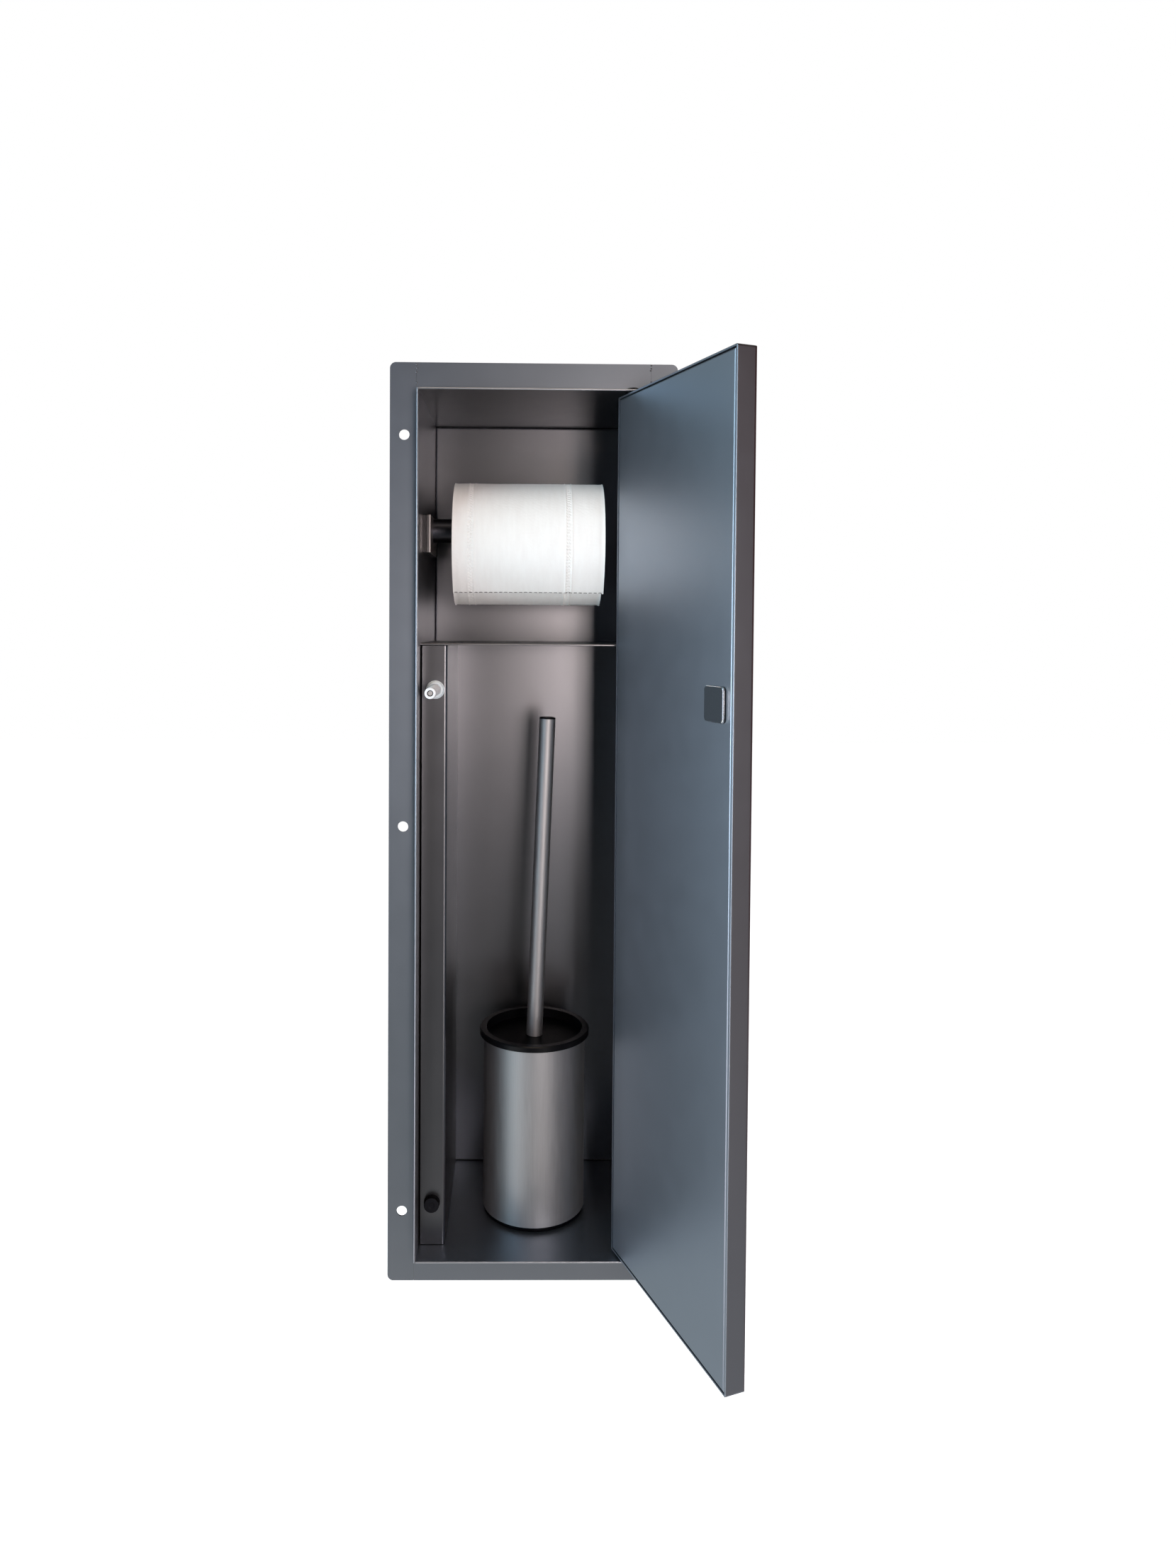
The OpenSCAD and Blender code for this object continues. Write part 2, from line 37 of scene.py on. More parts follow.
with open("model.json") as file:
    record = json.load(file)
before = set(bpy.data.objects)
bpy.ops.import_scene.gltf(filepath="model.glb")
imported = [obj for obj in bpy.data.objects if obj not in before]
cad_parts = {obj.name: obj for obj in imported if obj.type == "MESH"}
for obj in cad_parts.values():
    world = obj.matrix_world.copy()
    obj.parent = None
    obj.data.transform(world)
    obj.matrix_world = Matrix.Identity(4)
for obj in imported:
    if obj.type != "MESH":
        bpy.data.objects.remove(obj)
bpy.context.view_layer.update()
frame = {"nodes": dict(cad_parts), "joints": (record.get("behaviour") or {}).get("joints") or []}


# Places taken from the frame, and the two angles of rest that it doesn't give

def low(node):
    return Vector(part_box(node)[0])


def high(node):
    return Vector(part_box(node)[1])


def middle(node):
    return (low(node) + high(node)) / 2


LATCH_AXIS = middle("latch_plunger")
STRIP_FRONT = low("latch_cover_strip").y
BUMPER_AXIS = middle("door_bumper")
ROLL_AXIS = middle("roll_core")
POT_AXIS = middle("brush_pot")
LID_TOP = high("brush_lid").z
HANDLE_LEAN = math.radians(2)
HINGE = Vector(next(j for j in frame["joints"] if j["name"] == "door_hinge")["pos_m"])
DOOR_OPEN = math.radians(110.5)


# Mesh helpers

def add_object(name, mesh, body, material, smooth_angle=35):
    mesh.materials.append(material)
    mesh.shade_smooth()
    mesh.set_sharp_from_angle(angle=math.radians(smooth_angle))
    piece = bpy.data.objects.new(name, mesh)
    bpy.context.scene.collection.objects.link(piece)
    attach(piece, body)
    return piece


def rounded(points, steps=5):
    """A polyline with each corner (x, y, radius) rounded by an arc-like curve."""
    out = []
    for i, (x, y, radius) in enumerate(points):
        here = Vector((x, y))
        if radius == 0 or i in (0, len(points) - 1):
            out.append(here)
            continue
        before = Vector(points[i - 1][:2])
        after = Vector(points[i + 1][:2])
        start = here + (before - here).normalized() * radius
        end = here + (after - here).normalized() * radius
        for k in range(steps + 1):
            t = k / steps
            out.append(start * (1 - t) ** 2 + here * 2 * t * (1 - t) + end * t ** 2)
    return out


def lathe_mesh(name, profile, to_place, segments=72):
    """Turns a profile of (radius, along) about its axis; to_place maps local Z to the piece's axis."""
    mesh = bpy.data.meshes.new(name)
    bm = bmesh.new()
    rings = []
    for radius, along in profile:
        if radius < 1e-7:
            rings.append([bm.verts.new(to_place @ Vector((0, 0, along)))])
            continue
        rings.append([
            bm.verts.new(to_place @ Vector((
                radius * math.cos(2 * math.pi * k / segments),
                radius * math.sin(2 * math.pi * k / segments),
                along,
            )))
            for k in range(segments)
        ])
    for lower, upper in zip(rings, rings[1:]):
        for k in range(segments):
            j = (k + 1) % segments
            if len(lower) == 1 and len(upper) == 1:
                continue
            if len(lower) == 1:
                bm.faces.new((lower[0], upper[j], upper[k]))
            elif len(upper) == 1:
                bm.faces.new((lower[k], lower[j], upper[0]))
            else:
                bm.faces.new((lower[k], lower[j], upper[j], upper[k]))
    bmesh.ops.recalc_face_normals(bm, faces=bm.faces)
    bm.to_mesh(mesh)
    bm.free()
    return mesh


def facing_front(place):
    """Local Z points out of the niche, towards -Y."""
    return Matrix.Translation(place) @ Matrix.Rotation(math.radians(90), 4, "X")


def leaning(place):
    return Matrix.Translation(place) @ Matrix.Rotation(HANDLE_LEAN, 4, "Y")


# Material helpers

class Shader:
    """A material's node tree with its Principled shader and object coordinates."""

    def __init__(self, name, color, roughness, metallic=0.0):
        self.material = bpy.data.materials.new(name)
        self.material.use_nodes = True
        self.nodes = self.material.node_tree.nodes
        self.links = self.material.node_tree.links
        self.bsdf = self.nodes["Principled BSDF"]
        self.bsdf.inputs["Metallic"].default_value = metallic
        self.bsdf.inputs["Roughness"].default_value = roughness
        self.bsdf.inputs["Base Color"].default_value = (*color, 1)
        self.material.diffuse_color = (*color, 1)
        self.coords = self.nodes.new("ShaderNodeTexCoord").outputs["Object"]

    def noise(self, scale, stretch=(1, 1, 1), detail=4.0, rough=0.55):
        mapping = self.nodes.new("ShaderNodeMapping")
        mapping.inputs["Scale"].default_value = stretch
        self.links.new(self.coords, mapping.inputs["Vector"])
        noise = self.nodes.new("ShaderNodeTexNoise")
        noise.inputs["Scale"].default_value = scale
        noise.inputs["Detail"].default_value = detail
        noise.inputs["Roughness"].default_value = rough
        self.links.new(mapping.outputs["Vector"], noise.inputs["Vector"])
        return noise.outputs["Fac"]

    def math(self, operation, *values):
        node = self.nodes.new("ShaderNodeMath")
        node.operation = operation
        for socket, value in zip(node.inputs, values):
            self.links.new(value, socket)
        return node.outputs["Value"]

    def span(self, value, from_low, from_high, to_low, to_high):
        node = self.nodes.new("ShaderNodeMapRange")
        node.inputs["From Min"].default_value = from_low
        node.inputs["From Max"].default_value = from_high
        node.inputs["To Min"].default_value = to_low
        node.inputs["To Max"].default_value = to_high
        self.links.new(value, node.inputs["Value"])
        return node.outputs["Result"]

    def tint(self, value, dark, light):
        node = self.nodes.new("ShaderNodeMix")
        node.data_type = "RGBA"
        node.inputs["A"].default_value = (*dark, 1)
        node.inputs["B"].default_value = (*light, 1)
        self.links.new(value, node.inputs["Factor"])
        self.links.new(node.outputs["Result"], self.bsdf.inputs["Base Color"])

    def over(self, factor, color):
        """Lays another colour over the present one."""
        node = self.nodes.new("ShaderNodeMix")
        node.data_type = "RGBA"
        self.links.new(factor, node.inputs["Factor"])
        self.links.new(self.bsdf.inputs["Base Color"].links[0].from_socket, node.inputs["A"])
        node.inputs["B"].default_value = (*color, 1)
        self.links.new(node.outputs["Result"], self.bsdf.inputs["Base Color"])

    def rough(self, value):
        self.links.new(value, self.bsdf.inputs["Roughness"])

    def bump(self, height, strength, distance):
        node = self.nodes.new("ShaderNodeBump")
        node.inputs["Strength"].default_value = strength
        node.inputs["Distance"].default_value = distance
        if self.bsdf.inputs["Normal"].is_linked:
            self.links.new(self.bsdf.inputs["Normal"].links[0].from_socket, node.inputs["Normal"])
        self.links.new(height, node.inputs["Height"])
        self.links.new(node.outputs["Normal"], self.bsdf.inputs["Normal"])

    def split(self):
        node = self.nodes.new("ShaderNodeSeparateXYZ")
        self.links.new(self.coords, node.inputs["Vector"])
        return node.outputs["X"], node.outputs["Y"], node.outputs["Z"]


def scaled(color, factor):
    return tuple(min(1.0, c * factor) for c in color)


# Lip edge colour: bare metal, brightened further as a painted highlight line
BARE_AND_HIGHLIGHT_SHEET = (0.34, 0.36, 0.40)
# Colour of a painted highlight along a steel edge
PAINTED_EDGE_HIGHLIGHT = (0.70, 0.66, 0.66)


def sheet_metal(name, color, roughness, bare_and_highlight_edge=None, painted_highlight_from=None):
    """Satin coated steel sheet: fine pebble, faint clouds and a few handling marks.

    Up to a given place along Y, the lip edge is brighter: partly bare metal that has lost its coat, partly a
    painted highlight line.
    Beyond a given place along X on both sides and one along Z, a round edge gets a painted highlight: a
    brighter colour where its rounding catches light.
    """
    s = Shader(name, color, roughness, 1.0)
    clouds = s.noise(9, detail=3)
    s.tint(s.span(clouds, 0.3, 0.7, 0, 1), scaled(color, 0.98), scaled(color, 1.02))
    if bare_and_highlight_edge is not None:
        # Brighter lip edge: bare metal and a painted highlight line
        s.over(s.span(s.split()[1], bare_and_highlight_edge - 0.1 * MM, bare_and_highlight_edge + 0.1 * MM, 1, 0), BARE_AND_HIGHLIGHT_SHEET)
    # Painted highlight along rounded edges
    if painted_highlight_from is not None:
        half, top = painted_highlight_from
        x, _, z = s.split()
        side = s.span(s.math("ABSOLUTE", x), half - 0.3 * MM, half, 0, 1)
        edge = s.math("MAXIMUM", side, s.span(z, top - 0.3 * MM, top, 0, 1))
        s.over(edge, scaled(color, 2.6))
    marks = s.noise(60, detail=5, rough=0.6)
    s.rough(s.span(marks, 0.3, 0.7, roughness - 0.008, roughness + 0.010))
    s.bump(s.noise(3200, detail=2), 0.08, 0.03 * MM)
    return s.material


def brushed_metal(name, color, roughness, grain, edge_x=None):
    """Brushed steel: its streaks run where grain has its smallest number.

    Towards edge_x, where a right edge ends, come a painted shade line where a groove would be and a painted
    highlight along the edge.
    """
    s = Shader(name, color, roughness, 1.0)
    streaks = s.noise(1400, grain, detail=6, rough=0.7)
    s.tint(s.span(streaks, 0.3, 0.7, 0, 1), scaled(color, 0.90), scaled(color, 1.08))
    if edge_x is not None:
        x = s.split()[0]
        # A painted shade line where a groove would be, then a painted highlight along the edge
        s.over(s.span(x, edge_x - 2.5 * MM, edge_x - 2.1 * MM, 0.8, 0), scaled(color, 0.3))
        s.over(s.span(x, edge_x - 1.0 * MM, edge_x - 0.6 * MM, 0, 1), PAINTED_EDGE_HIGHLIGHT)
    s.rough(s.span(streaks, 0.3, 0.7, roughness - 0.05, roughness + 0.07))
    s.bump(streaks, 0.18, 0.03 * MM)
    return s.material


def moulded(name, color, roughness, pebble=900, strength=0.12, gloss=0.5):
    """Moulded plastic or rubber with a fine pebble."""
    s = Shader(name, color, roughness)
    s.bsdf.inputs["Specular IOR Level"].default_value = gloss
    grain = s.noise(pebble, detail=3)
    s.tint(grain, scaled(color, 0.85), scaled(color, 1.15))
    s.rough(s.span(grain, 0.3, 0.7, roughness - 0.04, roughness + 0.05))
    s.bump(grain, strength, 0.05 * MM)
    return s.material


OUTSIDE_PAINT = (0.262, 0.290, 0.333)
INSIDE_PAINT = (0.190, 0.192, 0.208)

# Up to here the wall sheets' lip edge is bare metal and a painted highlight
BARE_AND_HIGHLIGHT_TO = low("left_wall").y + 0.25 * MM

INSIDE = sheet_metal("inside_sheet", INSIDE_PAINT, 0.31)
BACK_EDGE = high("back_panel") - Vector((1, 1, 1)) * MM
# The back panel's rounded edges get a painted highlight
BACK = sheet_metal("back_sheet", INSIDE_PAINT, 0.31, painted_highlight_from=(BACK_EDGE.x, BACK_EDGE.z))
WALL = sheet_metal("wall_sheet", scaled(INSIDE_PAINT, 1.02), 0.37, bare_and_highlight_edge=BARE_AND_HIGHLIGHT_TO)
# A darker copy of the inside paint for the top wall: painted shade
TOP_WALL_SHADED = sheet_metal("top_wall_painted_shade", scaled(INSIDE_PAINT, 0.80), 0.31, bare_and_highlight_edge=BARE_AND_HIGHLIGHT_TO)
# A lighter, bluish copy of the inside paint for the niche floor: painted light
FLOOR_LIT = sheet_metal("floor_painted_light", (0.225, 0.255, 0.305), 0.40, bare_and_highlight_edge=BARE_AND_HIGHLIGHT_TO)
FLANGE = sheet_metal("flange_sheet", OUTSIDE_PAINT, 0.38)
DOOR = sheet_metal("door_sheet", OUTSIDE_PAINT, 0.40)
TUBE_STEEL = brushed_metal("tube_steel", (0.42, 0.415, 0.43), 0.52, (1, 1, 0.03))
# A darker copy of the holder's steel for the wall plate: painted shade by the wall
WALL_PLATE_SHADED = brushed_metal("wall_plate_painted_shade", (0.050, 0.048, 0.050), 0.30, (1, 0.6, 0.05))
# The arm plate gets a painted shade line and a painted highlight at its right edge
ARM_STEEL = brushed_metal("arm_steel", (0.135, 0.13, 0.135), 0.30, (1, 0.6, 0.05), high("roll_arm_plate").x)
ROD_STEEL = brushed_metal("rod_steel", (0.046, 0.048, 0.058), 0.40, (0.03, 1, 1))
PIN_STEEL = brushed_metal("pin_steel", (0.50, 0.50, 0.50), 0.32, (1, 1, 0.05))
BLACK_PLASTIC = moulded("black_plastic", (0.0010, 0.0011, 0.0017), 0.42, gloss=0.05)
RIM_PLASTIC = moulded("rim_plastic", (0.003, 0.003, 0.004), 0.34, strength=0.02, gloss=0.14)
BLACK_RUBBER = moulded("black_rubber", (0.0015, 0.0015, 0.002), 0.6, pebble=500, gloss=0.05)
# Lighter bluish rubber for the bumper's front: painted light
RUBBER_LIT_FACE = moulded("rubber_painted_light", (0.011, 0.012, 0.016), 0.6, pebble=700, gloss=0.08)
WHITE_PLASTIC = moulded("white_plastic", (0.92, 0.93, 1.0), 0.30, pebble=700, strength=0.05)
COLLAR_PLASTIC = moulded("collar_plastic", (0.78, 0.87, 1.0), 0.30, pebble=700, strength=0.05)
MAGNET = moulded("magnet_face", (0.42, 0.38, 0.37), 0.45, pebble=900)
STRIKE = moulded("strike_face", (0.015, 0.019, 0.025), 0.52, pebble=1200, strength=0.2)
STRIKE_EDGE = brushed_metal("strike_edge", (0.80, 0.81, 0.82), 0.25, (1, 1, 1))
BRISTLE = moulded("bristle", (0.86, 0.86, 0.84), 0.5)
WELD = brushed_metal("weld_bead", (0.12, 0.12, 0.13), 0.45, (1, 1, 1))


def card_material():
    s = Shader("card", (0.40, 0.32, 0.23), 0.85)
    fibres = s.noise(500, (0.3, 1, 1), detail=5)
    s.tint(fibres, (0.33, 0.26, 0.18), (0.47, 0.38, 0.28))
    s.bump(fibres, 0.4, 0.1 * MM)
    return s.material


def paper_material():
    """Tissue: soft fibres and faint creases that run round the roll."""
    s = Shader("tissue", (0.90, 0.90, 0.89), 0.95)
    s.bsdf.inputs["Sheen Weight"].default_value = 0.6
    s.bsdf.inputs["Specular IOR Level"].default_value = 0.15
    creases = s.noise(60, (5, 1, 1), detail=4)
    # The creases' hollows are a little darker: painted shade
    s.tint(s.span(creases, 0.3, 0.7, 0, 1), (0.826, 0.817, 0.812), (0.86, 0.86, 0.857))
    s.bump(s.noise(420, detail=5, rough=0.6), 0.30, 0.10 * MM)
    s.bump(creases, 0.22, 0.4 * MM)
    return s.material


PAPER = paper_material()
# Dark grey of the second ply's edge: painted shade under the loose edge
PLY_SHADE = moulded("ply_painted_shade", (0.20, 0.19, 0.19), 0.9, pebble=900, gloss=0.1)
CARD = card_material()


def paint_nodes():
    """Gives every CAD node its material."""
    looks = {
        INSIDE: ("shelf", "latch_cover_strip"),
        BACK: ("back_panel",),
        WALL: ("left_wall", "right_wall"),
        TOP_WALL_SHADED: ("top_wall",),
        FLOOR_LIT: ("bottom_wall",),
        FLANGE: ("left_flange", "right_flange", "top_flange", "bottom_flange"),
        DOOR: ("door_shell", "door_inner_panel"),
        TUBE_STEEL: ("brush_sleeve", "brush_handle"),
        WALL_PLATE_SHADED: ("roll_wall_plate",),
        ARM_STEEL: ("roll_arm_plate",),
        ROD_STEEL: ("roll_rod", "roll_rod_cap"),
        PIN_STEEL: ("upper_pivot_pin", "lower_pivot_pin", "upper_pivot_block", "lower_pivot_block",
                    "roll_holder_screws"),
        RIM_PLASTIC: ("brush_pot",),
        BLACK_PLASTIC: ("latch_housing", "brush_base", "brush_lid", "brush_stem",
                        "brush_handle_cap", "upper_pivot_bush", "lower_pivot_bush"),
        BLACK_RUBBER: ("door_bumper",),
        WHITE_PLASTIC: ("latch_plunger",),
        COLLAR_PLASTIC: ("latch_collar",),
        MAGNET: ("latch_magnet",),
        STRIKE: ("strike_plate",),
        CARD: ("roll_core",),
        PAPER: ("paper_roll",),
        BRISTLE: ("brush_head",),
    }
    for material, nodes in looks.items():
        for node in nodes:
            for slot in frame["nodes"][node].material_slots:
                slot.material = material


# Paper roll

ROLL_R = (high("paper_roll").z - low("paper_roll").z) / 2
ROLL_X0 = low("paper_roll").x
ROLL_X1 = high("paper_roll").x
CORE_R = (high("roll_core").z - low("roll_core").z) / 2 + 0.1 * MM
TAIL_ANGLE = math.radians(-51)
TAIL_LIFT = 1.1 * MM
LAYER = 0.45 * MM
TOOTH = 3.4 * MM
NIB = 1.2 * MM
OUTER_X1 = ROLL_X1 + 0.3 * MM
BODY_X1 = ROLL_X1 - 1.0 * MM
LEFT_BAND = -42.1 * MM
RIGHT_BAND = 24.3 * MM
BAND_HALF = 2.15 * MM
COLUMN_OFF = 0.78 * MM
DENT_HALF = 0.82 * MM
DENT_DEPTH = 0.62 * MM
DENTS_ROUND = 117


def roll_columns():
    """Places across the roll, closer together in the pressed bands and at the ends."""
    step = TOOTH / 6
    count = int((OUTER_X1 - ROLL_X0) / step)
    places = [ROLL_X0 + step * k for k in range(count + 1)]
    places += [
        (a + b) / 2 for a, b in zip(places, places[1:])
        if min(abs((a + b) / 2 - LEFT_BAND), abs((a + b) / 2 - RIGHT_BAND)) < 2.9 * MM
    ]
    for near in (0.12, 0.3, 0.85):
        places += [ROLL_X0 + near * MM, OUTER_X1 - near * MM]
    places.append(OUTER_X1)
    return np.array(sorted(places))


def roll_points(x, angle, radius):
    """angle is 0 at the front and grows upwards."""
    x, angle, radius = np.broadcast_arrays(x, angle, radius)
    y = ROLL_AXIS.y - radius * np.cos(angle)
    z = ROLL_AXIS.z + radius * np.sin(angle)
    return np.stack([x, y, z], axis=-1)


def soft_wave(x, angle, seed):
    """Slow uneven swell of loosely wound paper."""
    return (
        np.sin(x * 95 + seed) * np.cos(angle * 3 + seed * 2)
        + 0.6 * np.sin(x * 210 + angle * 5 + seed * 3)
        + 0.5 * np.cos(angle * 9 + x * 40 + seed)
    )


def crumple(x, angle, seed):
    """Small sharp-sided wrinkles of thin tissue."""
    waves = (
        np.sin(x * 900 + 4 * np.sin(angle * 21 + seed))
        * np.sin(angle * 46 + 3 * np.sin(x * 230 + seed))
        + 0.7 * np.sin(x * 1500 + angle * 33 + seed * 5) * np.cos(angle * 70 + x * 300)
    )
    return np.tanh(waves * 1.5)


def edge_flare(x):
    """The cut edges stand up a little over a faint hollow."""
    from_end = np.minimum(x - ROLL_X0, OUTER_X1 - x) / MM
    return MM * (0.26 * np.exp(-(from_end / 0.6) ** 2) - 0.10 * np.exp(-((from_end - 2.4) / 1.1) ** 2))


def bands(x, angle):
    """Two pressed bands between soft ridges, each with two rows of dents a little out of step."""
    height = np.zeros(np.broadcast(x, angle).shape)
    for band, slant, drift, shift in ((LEFT_BAND, 0.10, 0, math.pi), (RIGHT_BAND, 0.55, 2, 0)):
        off = x - band
        ridge = 0.24 * np.exp(-((np.abs(off) - BAND_HALF) / MM / 0.5) ** 2)
        height = height + MM * (ridge + 0.06 * np.exp(-(off / MM / 1.6) ** 4))
        for side, marks, start in ((-1, DENTS_ROUND, 0), (1, DENTS_ROUND + drift, shift)):
            column = off - side * COLUMN_OFF
            width = np.clip(1 - (column / DENT_HALF) ** 2, 0, 1)
            turn = (angle + slant * column / (MM * 2.3) * 2 * math.pi / DENTS_ROUND) * marks + start
            height = height - DENT_DEPTH * width * np.clip(np.sin(turn) * 1.8 - 0.2, 0, 1)
    return height


class Quads:
    """Gathers grids of points into one mesh."""

    def __init__(self):
        self.points = []
        self.faces = []
        self.slots = []
        self.count = 0

    def add(self, grid, closed=False, slot=0):
        rows, columns = grid.shape[:2]
        index = np.arange(rows * columns).reshape(rows, columns) + self.count
        if closed:
            index = np.vstack([index, index[:1]])
        quads = np.stack([index[:-1, :-1], index[:-1, 1:], index[1:, 1:], index[1:, :-1]], axis=-1)
        self.points.append(grid.reshape(-1, 3))
        self.faces.append(quads.reshape(-1, 4))
        self.slots += [slot] * len(self.faces[-1])
        self.count += rows * columns

    def mesh(self, name):
        mesh = bpy.data.meshes.new(name)
        mesh.from_pydata(np.concatenate(self.points).tolist(), [], np.concatenate(self.faces).tolist())
        mesh.polygons.foreach_set("material_index", self.slots)
        bm = bmesh.new()
        bm.from_mesh(mesh)
        bmesh.ops.remove_doubles(bm, verts=bm.verts, dist=0.002 * MM)
        bmesh.ops.recalc_face_normals(bm, faces=bm.faces)
        bm.to_mesh(mesh)
        bm.free()
        return mesh


def build_roll():
    quads = Quads()
    x = roll_columns()[None, :]
    body_r = ROLL_R - LAYER

    # The wound body, one layer under the loose one and a little narrower
    angle = np.linspace(0, 2 * math.pi, 560, endpoint=False)[:, None]
    body_x = ROLL_X0 + (x - ROLL_X0) * (BODY_X1 - ROLL_X0) / (OUTER_X1 - ROLL_X0)
    under = np.clip(-np.sin(angle), 0, 1)
    radius = body_r - 0.12 * MM + edge_flare(x) * (1 + 1.2 * under) + bands(x, angle)
    radius = radius + MM * (0.05 * soft_wave(x, angle, 4) + 0.05 * crumple(x, angle, 2))
    body = roll_points(body_x, angle, radius)
    quads.add(body, closed=True)

    # End faces, with the uneven edges of the wound layers
    rng = np.random.default_rng(5)
    for column, side, core_end in ((0, 1, ROLL_X0), (-1, -1, ROLL_X1)):
        rings = 46
        rim = body[:, column]
        grid = [rim]
        for k in range(1, rings + 1):
            t = k / rings
            ring = rim.copy()
            spread = (radius[:, column] * (1 - t) + CORE_R * t)[:, None]
            ring[:, 1:] = np.concatenate([
                ROLL_AXIS.y - spread * np.cos(angle),
                ROLL_AXIS.z + spread * np.sin(angle),
            ], axis=1)
            ring[:, 0] += (core_end - rim[:, 0]) * t
            ring[:, 0] += side * (0.10 * MM + rng.uniform(0, 0.22) * MM) * min(1, 3 * (1 - t))
            grid.append(ring)
        quads.add(np.stack(grid, axis=1), closed=True)

    # The loose outer layer hangs off in a torn edge with a nib at every perforation;
    # its rows are closer on the share of the sweep that is seen
    sweep = math.radians(318)
    free = 13 * MM
    seen = 0.46
    rows = np.concatenate([np.linspace(0, seen, 640, endpoint=False), np.linspace(seen, 1, 260)])[:, None]
    tooth = (x - ROLL_X0) / TOOTH
    size = rng.uniform(0.65, 1.1, 64)[np.floor(tooth + 0.5).astype(int)]
    nibs = size * np.interp((tooth + 0.5) % 1 - 0.5, [-1 / 6, 0, 1 / 6, 1 / 3], [0, 1, 0.8, 0])
    sag = 0.25 * np.cos((x - ROLL_X0) / (OUTER_X1 - ROLL_X0) * 2 * math.pi) + 0.10 * np.sin(x * 400)
    start = TAIL_ANGLE - (NIB * nibs + sag * MM) / ROLL_R * np.clip(1 - rows * 500, 0, 1)
    angle = start + sweep * rows
    along = rows * sweep * ROLL_R
    lift = np.clip(1 - along / free, 0, 1) ** 2 * TAIL_LIFT
    settle = LAYER * np.clip((rows - 0.75) / 0.25, 0, 1)
    radius = ROLL_R + lift - settle + edge_flare(x) + bands(x, angle)
    radius = radius + 0.06 * MM * soft_wave(x, angle, 1) + 0.03 * MM * crumple(x, angle, 7)
    quads.add(roll_points(x, angle, radius))
    # The inner face of the loose edge gives it thickness
    near = slice(0, 40)
    inner = np.concatenate([radius[:1], radius[near] - 0.22 * MM])
    quads.add(roll_points(x, np.concatenate([angle[:1], angle[near]]), inner))
    # The second ply's edge shows in the gaps between the nibs, coloured dark grey as painted shade under the
    # loose edge
    drop = np.linspace(0.05, 1.0, 5)[:, None] * (1 + 0.12 * np.sin(x * 3100))
    ply_angle = TAIL_ANGLE - (sag + drop) * MM / ROLL_R
    ply_r = ROLL_R + TAIL_LIFT - 0.25 * MM + edge_flare(x)
    quads.add(roll_points(x, ply_angle, ply_r), slot=1)

    roll = add_object("tissue_roll", quads.mesh("tissue_roll"), "roll", PAPER, smooth_angle=60)
    roll.data.materials.append(PLY_SHADE)
    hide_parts("paper_roll")
    return roll


# Push latch, bumper and strike plate

def build_latch():
    tip = low("latch_plunger").y
    length = high("latch_plunger").y - tip
    radius = (high("latch_plunger").z - low("latch_plunger").z) / 2
    magnet = (high("latch_magnet").z - low("latch_magnet").z) / 2
    hole = magnet - 0.02 * MM
    profile = rounded([
        (0, -1.95 * MM, 0), (hole, -1.95 * MM, 0), (hole, 0, 0.30 * MM), (radius, 0, 0.8 * MM),
        (radius, -6 * MM, 0), (radius - 0.12 * MM, -6.2 * MM, 0), (radius - 0.12 * MM, -6.8 * MM, 0),
        (radius, -7.0 * MM, 0), (radius, -length, 0), (0, -length, 0),
    ])
    place = facing_front(Vector((LATCH_AXIS.x, tip, LATCH_AXIS.z)))
    sleeve = lathe_mesh("plunger_sleeve", profile, place)
    plunger = add_object("plunger_sleeve", sleeve, "plunger", WHITE_PLASTIC)
    # The magnet's recess is coloured black: painted shade in the gap round the magnet
    plunger.data.materials.append(BLACK_RUBBER)
    for face in plunger.data.polygons:
        off = face.center - Vector((LATCH_AXIS.x, tip, LATCH_AXIS.z))
        face.material_index = int(math.hypot(off.x, off.z) < hole and off.y > 0.3 * MM)
    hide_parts("latch_plunger")

    disc_r = magnet - 0.52 * MM
    disc_profile = rounded([
        (0, -0.30 * MM, 0), (disc_r, -0.30 * MM, 0.2 * MM), (disc_r, -1.9 * MM, 0), (0, -1.9 * MM, 0),
    ])
    disc = add_object("magnet_disc", lathe_mesh("magnet_disc", disc_profile, place), "plunger", MAGNET)
    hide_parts("latch_magnet")

    front = STRIP_FRONT - low("latch_collar").y
    outer = (high("latch_collar").z - low("latch_collar").z) / 2
    bore = radius + 0.05 * MM
    rim = outer - 0.85 * MM
    collar_profile = [
        (bore, 0, 0), (bore, front, 0.55 * MM), (rim, front, 0.75 * MM),
        (rim + 0.25 * MM, front * 0.62, 0.1 * MM), (rim + 0.12 * MM, front * 0.55, 0.05 * MM),
        (rim + 0.45 * MM, front * 0.42, 0.1 * MM), (rim + 0.30 * MM, front * 0.34, 0.05 * MM),
        (outer, front * 0.2, 0.2 * MM), (outer, 0, 0),
    ]
    place = facing_front(Vector((LATCH_AXIS.x, STRIP_FRONT, LATCH_AXIS.z)))
    collar = add_object("threaded_collar", lathe_mesh("threaded_collar", rounded(collar_profile), place),
                        "casing", COLLAR_PLASTIC)
    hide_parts("latch_collar")


